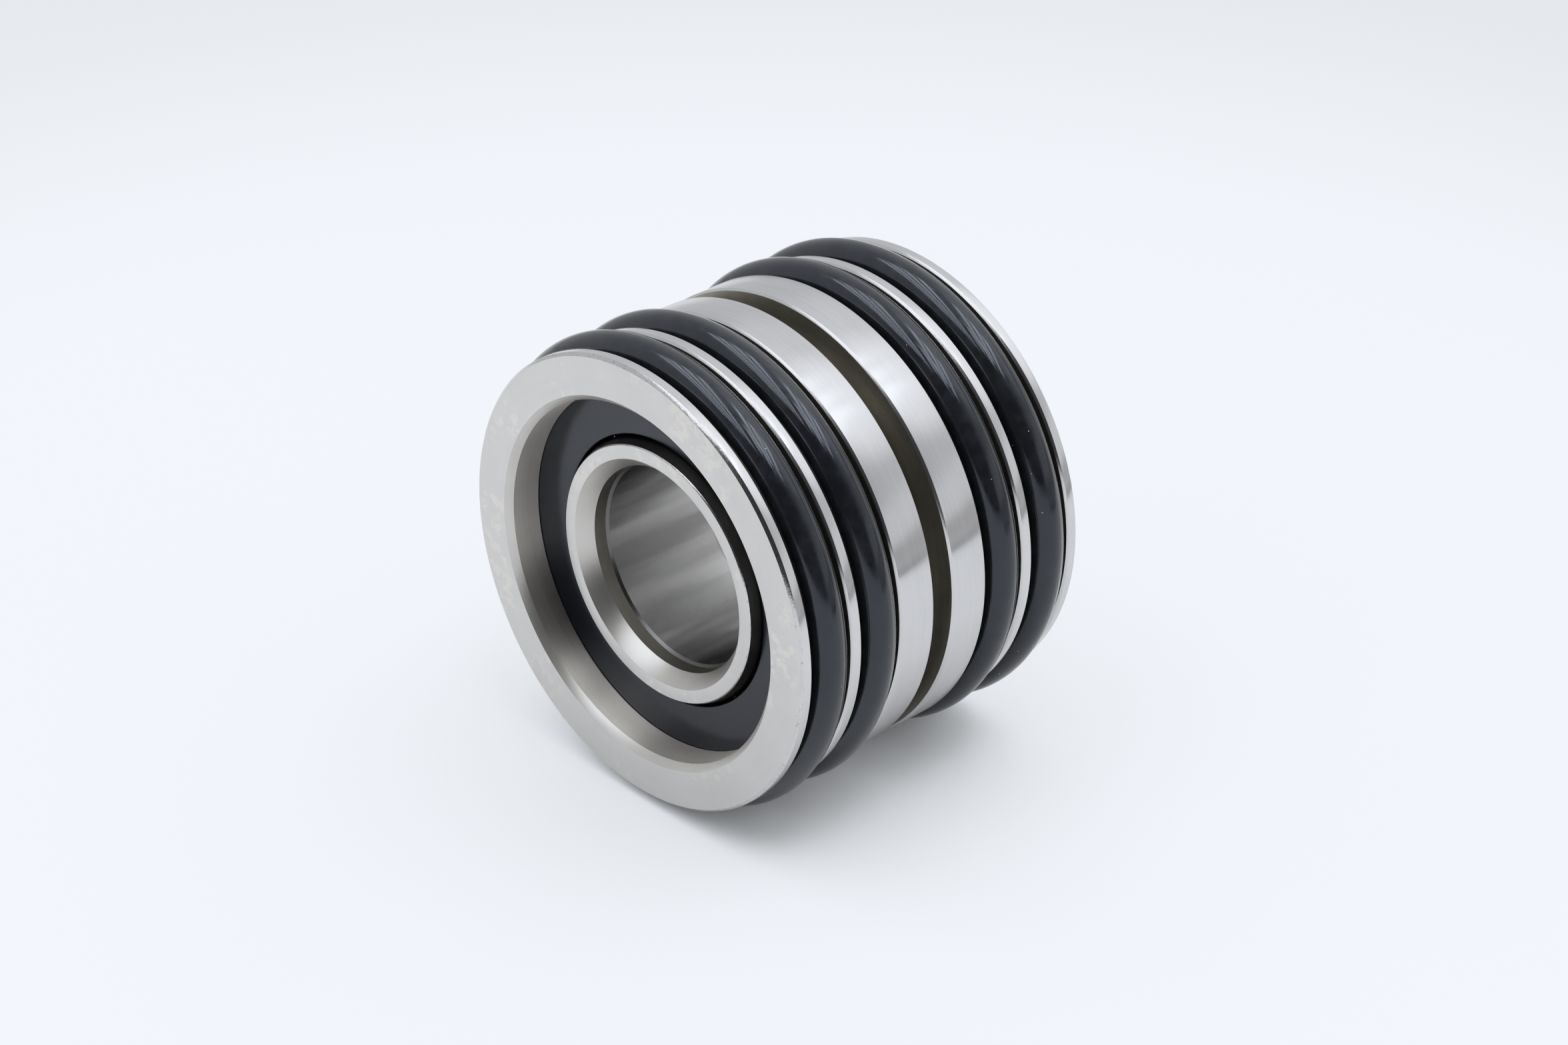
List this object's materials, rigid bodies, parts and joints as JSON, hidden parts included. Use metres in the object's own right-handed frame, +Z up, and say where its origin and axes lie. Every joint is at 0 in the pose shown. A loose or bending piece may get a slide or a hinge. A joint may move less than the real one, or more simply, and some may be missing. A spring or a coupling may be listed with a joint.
{
  "type": "sealed double-row angular contact bearing",
  "caption": "Wide sealed double-row angular contact bearing; its outer ring seats on black O-rings, with a groove at mid width.",
  "frame": {"origin": "on the bearing's axis, at the middle of its width", "axes": "+Y along the axis from the front face to the rear face, +Z up when the bearing lies on its side"},
  "size_m": [0.0468, 0.0356, 0.0468],
  "materials": {
    "ring_steel": "ground, with fine marks round the lands and bore",
    "ball_steel": "polished",
    "insert_steel": "pressed sheet",
    "o_ring_rubber": "moulded, slightly glossy",
    "seal_rubber": "moulded, matte",
    "cage_polyamide": "moulded, natural polyamide"
  },
  "bodies": {
    "outer": {"outer_ring": "ring_steel", "o_ring_front_outer": "o_ring_rubber", "o_ring_front_inner": "o_ring_rubber", "seal_front": "seal_rubber", "seal_insert_front": "insert_steel", "o_ring_rear_outer": "o_ring_rubber", "o_ring_rear_inner": "o_ring_rubber", "seal_rear": "seal_rubber", "seal_insert_rear": "insert_steel"},
    "inner": {"inner_ring_front": "ring_steel", "inner_ring_rear": "ring_steel"},
    "cage_front": {"cage_front": "cage_polyamide"},
    "cage_rear": {"cage_rear": "cage_polyamide"},
    "ball_front_01": {"ball_front_01": "ball_steel"},
    "ball_front_02": {"ball_front_02": "ball_steel"},
    "ball_front_03": {"ball_front_03": "ball_steel"},
    "ball_front_04": {"ball_front_04": "ball_steel"},
    "ball_front_05": {"ball_front_05": "ball_steel"},
    "ball_front_06": {"ball_front_06": "ball_steel"},
    "ball_front_07": {"ball_front_07": "ball_steel"},
    "ball_front_08": {"ball_front_08": "ball_steel"},
    "ball_front_09": {"ball_front_09": "ball_steel"},
    "ball_front_10": {"ball_front_10": "ball_steel"},
    "ball_front_11": {"ball_front_11": "ball_steel"},
    "ball_front_12": {"ball_front_12": "ball_steel"},
    "ball_rear_01": {"ball_rear_01": "ball_steel"},
    "ball_rear_02": {"ball_rear_02": "ball_steel"},
    "ball_rear_03": {"ball_rear_03": "ball_steel"},
    "ball_rear_04": {"ball_rear_04": "ball_steel"},
    "ball_rear_05": {"ball_rear_05": "ball_steel"},
    "ball_rear_06": {"ball_rear_06": "ball_steel"},
    "ball_rear_07": {"ball_rear_07": "ball_steel"},
    "ball_rear_08": {"ball_rear_08": "ball_steel"},
    "ball_rear_09": {"ball_rear_09": "ball_steel"},
    "ball_rear_10": {"ball_rear_10": "ball_steel"},
    "ball_rear_11": {"ball_rear_11": "ball_steel"},
    "ball_rear_12": {"ball_rear_12": "ball_steel"}
  },
  "joints": [
    {"name": "inner_spin", "type": "hinge", "parent": "outer", "child": "inner", "pos_m": [0, 0, 0], "axis": [0, 1, 0], "continuous": true},
    {"name": "cage_front_orbit", "type": "hinge", "parent": "outer", "child": "cage_front", "pos_m": [0, 0, 0], "axis": [0, 1, 0], "continuous": true},
    {"name": "cage_rear_orbit", "type": "hinge", "parent": "outer", "child": "cage_rear", "pos_m": [0, 0, 0], "axis": [0, 1, 0], "continuous": true},
    {"name": "ball_front_01_spin", "type": "hinge", "parent": "cage_front", "child": "ball_front_01", "pos_m": [0.01477, -0.0075, -0.00194], "axis": [-0.4957, 0.866, 0.0653], "continuous": true},
    {"name": "ball_front_02_spin", "type": "hinge", "parent": "cage_front", "child": "ball_front_02", "pos_m": [0.01182, -0.0075, -0.00907], "axis": [-0.3967, 0.866, 0.3044], "continuous": true},
    {"name": "ball_front_03_spin", "type": "hinge", "parent": "cage_front", "child": "ball_front_03", "pos_m": [0.0057, -0.0075, -0.01377], "axis": [-0.1913, 0.866, 0.4619], "continuous": true},
    {"name": "ball_front_04_spin", "type": "hinge", "parent": "cage_front", "child": "ball_front_04", "pos_m": [-0.00194, -0.0075, -0.01477], "axis": [0.0653, 0.866, 0.4957], "continuous": true},
    {"name": "ball_front_05_spin", "type": "hinge", "parent": "cage_front", "child": "ball_front_05", "pos_m": [-0.00907, -0.0075, -0.01182], "axis": [0.3044, 0.866, 0.3967], "continuous": true},
    {"name": "ball_front_06_spin", "type": "hinge", "parent": "cage_front", "child": "ball_front_06", "pos_m": [-0.01377, -0.0075, -0.0057], "axis": [0.4619, 0.866, 0.1913], "continuous": true},
    {"name": "ball_front_07_spin", "type": "hinge", "parent": "cage_front", "child": "ball_front_07", "pos_m": [-0.01477, -0.0075, 0.00194], "axis": [0.4957, 0.866, -0.0653], "continuous": true},
    {"name": "ball_front_08_spin", "type": "hinge", "parent": "cage_front", "child": "ball_front_08", "pos_m": [-0.01182, -0.0075, 0.00907], "axis": [0.3967, 0.866, -0.3044], "continuous": true},
    {"name": "ball_front_09_spin", "type": "hinge", "parent": "cage_front", "child": "ball_front_09", "pos_m": [-0.0057, -0.0075, 0.01377], "axis": [0.1913, 0.866, -0.4619], "continuous": true},
    {"name": "ball_front_10_spin", "type": "hinge", "parent": "cage_front", "child": "ball_front_10", "pos_m": [0.00194, -0.0075, 0.01477], "axis": [-0.0653, 0.866, -0.4957], "continuous": true},
    {"name": "ball_front_11_spin", "type": "hinge", "parent": "cage_front", "child": "ball_front_11", "pos_m": [0.00907, -0.0075, 0.01182], "axis": [-0.3044, 0.866, -0.3967], "continuous": true},
    {"name": "ball_front_12_spin", "type": "hinge", "parent": "cage_front", "child": "ball_front_12", "pos_m": [0.01377, -0.0075, 0.0057], "axis": [-0.4619, 0.866, -0.1913], "continuous": true},
    {"name": "ball_rear_01_spin", "type": "hinge", "parent": "cage_rear", "child": "ball_rear_01", "pos_m": [0.01377, 0.0075, -0.0057], "axis": [0.4619, 0.866, -0.1913], "continuous": true},
    {"name": "ball_rear_02_spin", "type": "hinge", "parent": "cage_rear", "child": "ball_rear_02", "pos_m": [0.00907, 0.0075, -0.01182], "axis": [0.3044, 0.866, -0.3967], "continuous": true},
    {"name": "ball_rear_03_spin", "type": "hinge", "parent": "cage_rear", "child": "ball_rear_03", "pos_m": [0.00194, 0.0075, -0.01477], "axis": [0.0653, 0.866, -0.4957], "continuous": true},
    {"name": "ball_rear_04_spin", "type": "hinge", "parent": "cage_rear", "child": "ball_rear_04", "pos_m": [-0.0057, 0.0075, -0.01377], "axis": [-0.1913, 0.866, -0.4619], "continuous": true},
    {"name": "ball_rear_05_spin", "type": "hinge", "parent": "cage_rear", "child": "ball_rear_05", "pos_m": [-0.01182, 0.0075, -0.00907], "axis": [-0.3967, 0.866, -0.3044], "continuous": true},
    {"name": "ball_rear_06_spin", "type": "hinge", "parent": "cage_rear", "child": "ball_rear_06", "pos_m": [-0.01477, 0.0075, -0.00194], "axis": [-0.4957, 0.866, -0.0653], "continuous": true},
    {"name": "ball_rear_07_spin", "type": "hinge", "parent": "cage_rear", "child": "ball_rear_07", "pos_m": [-0.01377, 0.0075, 0.0057], "axis": [-0.4619, 0.866, 0.1913], "continuous": true},
    {"name": "ball_rear_08_spin", "type": "hinge", "parent": "cage_rear", "child": "ball_rear_08", "pos_m": [-0.00907, 0.0075, 0.01182], "axis": [-0.3044, 0.866, 0.3967], "continuous": true},
    {"name": "ball_rear_09_spin", "type": "hinge", "parent": "cage_rear", "child": "ball_rear_09", "pos_m": [-0.00194, 0.0075, 0.01477], "axis": [-0.0653, 0.866, 0.4957], "continuous": true},
    {"name": "ball_rear_10_spin", "type": "hinge", "parent": "cage_rear", "child": "ball_rear_10", "pos_m": [0.0057, 0.0075, 0.01377], "axis": [0.1913, 0.866, 0.4619], "continuous": true},
    {"name": "ball_rear_11_spin", "type": "hinge", "parent": "cage_rear", "child": "ball_rear_11", "pos_m": [0.01182, 0.0075, 0.00907], "axis": [0.3967, 0.866, 0.3044], "continuous": true},
    {"name": "ball_rear_12_spin", "type": "hinge", "parent": "cage_rear", "child": "ball_rear_12", "pos_m": [0.01477, 0.0075, 0.00194], "axis": [0.4957, 0.866, 0.0653], "continuous": true}
  ],
  "couplings": [
    {"joint": "cage_front_orbit", "follows": "inner_spin", "ratio": 0.41282},
    {"joint": "cage_rear_orbit", "follows": "inner_spin", "ratio": 0.41282},
    {"joint": "ball_front_01_spin", "follows": "inner_spin", "ratio": -2.4078},
    {"joint": "ball_front_02_spin", "follows": "inner_spin", "ratio": -2.4078},
    {"joint": "ball_front_03_spin", "follows": "inner_spin", "ratio": -2.4078},
    {"joint": "ball_front_04_spin", "follows": "inner_spin", "ratio": -2.4078},
    {"joint": "ball_front_05_spin", "follows": "inner_spin", "ratio": -2.4078},
    {"joint": "ball_front_06_spin", "follows": "inner_spin", "ratio": -2.4078},
    {"joint": "ball_front_07_spin", "follows": "inner_spin", "ratio": -2.4078},
    {"joint": "ball_front_08_spin", "follows": "inner_spin", "ratio": -2.4078},
    {"joint": "ball_front_09_spin", "follows": "inner_spin", "ratio": -2.4078},
    {"joint": "ball_front_10_spin", "follows": "inner_spin", "ratio": -2.4078},
    {"joint": "ball_front_11_spin", "follows": "inner_spin", "ratio": -2.4078},
    {"joint": "ball_front_12_spin", "follows": "inner_spin", "ratio": -2.4078},
    {"joint": "ball_rear_01_spin", "follows": "inner_spin", "ratio": -2.4078},
    {"joint": "ball_rear_02_spin", "follows": "inner_spin", "ratio": -2.4078},
    {"joint": "ball_rear_03_spin", "follows": "inner_spin", "ratio": -2.4078},
    {"joint": "ball_rear_04_spin", "follows": "inner_spin", "ratio": -2.4078},
    {"joint": "ball_rear_05_spin", "follows": "inner_spin", "ratio": -2.4078},
    {"joint": "ball_rear_06_spin", "follows": "inner_spin", "ratio": -2.4078},
    {"joint": "ball_rear_07_spin", "follows": "inner_spin", "ratio": -2.4078},
    {"joint": "ball_rear_08_spin", "follows": "inner_spin", "ratio": -2.4078},
    {"joint": "ball_rear_09_spin", "follows": "inner_spin", "ratio": -2.4078},
    {"joint": "ball_rear_10_spin", "follows": "inner_spin", "ratio": -2.4078},
    {"joint": "ball_rear_11_spin", "follows": "inner_spin", "ratio": -2.4078},
    {"joint": "ball_rear_12_spin", "follows": "inner_spin", "ratio": -2.4078}
  ]
}
